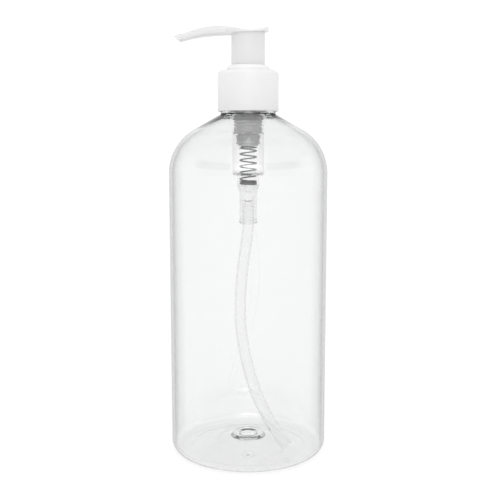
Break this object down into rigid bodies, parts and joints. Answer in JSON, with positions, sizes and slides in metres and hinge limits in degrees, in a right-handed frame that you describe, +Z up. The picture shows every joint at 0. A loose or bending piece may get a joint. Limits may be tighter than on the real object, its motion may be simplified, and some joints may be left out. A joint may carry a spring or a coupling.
{
  "type": "pump oil bottle",
  "caption": "Clear round bottle with a rounded shoulder, a smooth screw closure and a hand pump with a curved spout, a return spring, a ball valve and a bowed dip tube.",
  "frame": {"origin": "centre of the bottle's base, on the surface it stands on", "axes": "+Z up along the bottle's axis; the spout points to -X with the head as stored"},
  "size_m": [0.07, 0.07, 0.189],
  "materials": {
    "clear_pet": "clear, polished blow-moulded polyester",
    "white_polypropylene": "smooth moulded white, soft gloss",
    "natural_polypropylene": "undyed, see-through moulded",
    "soft_polyethylene": "undyed, waxy moulded",
    "tube_polyethylene": "undyed, see-through extruded",
    "foam_polyethylene": "closed-cell foam washer",
    "stainless_steel": "bright drawn spring wire",
    "clear_glass": "polished clear glass ball"
  },
  "bodies": {
    "bottle": {"bottle": "clear_pet"},
    "pump_body": {"pump_housing": "natural_polypropylene", "lock_ring": "white_polypropylene", "neck_gasket": "foam_polyethylene", "dip_tube": "tube_polyethylene", "return_spring": "stainless_steel"},
    "closure": {"closure_collar": "white_polypropylene"},
    "plunger": {"piston_seat": "white_polypropylene"},
    "actuator": {"actuator_head": "white_polypropylene", "stem": "white_polypropylene"},
    "piston": {"piston": "soft_polyethylene"},
    "inlet_ball": {"inlet_ball": "clear_glass"}
  },
  "joints": [
    {"name": "pump_lift", "type": "slide", "parent": "bottle", "child": "pump_body", "axis": [0, 0, 1], "range_m": [0, 0.00476]},
    {"name": "closure_turn", "type": "hinge", "parent": "pump_body", "child": "closure", "pos_m": [0, 0, 0.16], "axis": [0, 0, 1], "range_deg": [0, 540.5]},
    {"name": "actuator_press", "type": "slide", "parent": "pump_body", "child": "plunger", "axis": [0, 0, 1], "range_m": [-0.0115, 0], "stiffness_N_per_m": 800, "springref_m": 0.008, "deforming": ["return_spring"]},
    {"name": "head_swivel", "type": "hinge", "parent": "plunger", "child": "actuator", "pos_m": [0, 0, 0.18], "axis": [0, 0, 1], "continuous": true},
    {"name": "piston_shift", "type": "slide", "parent": "plunger", "child": "piston", "axis": [0, 0, 1], "range_m": [0, 0.0012]},
    {"name": "ball_lift", "type": "slide", "parent": "pump_body", "child": "inlet_ball", "axis": [0, 0, 1], "range_m": [0, 0.001]}
  ],
  "couplings": [
    {"joint": "closure_turn", "follows": "pump_lift", "rad_per_m": 1979}
  ]
}
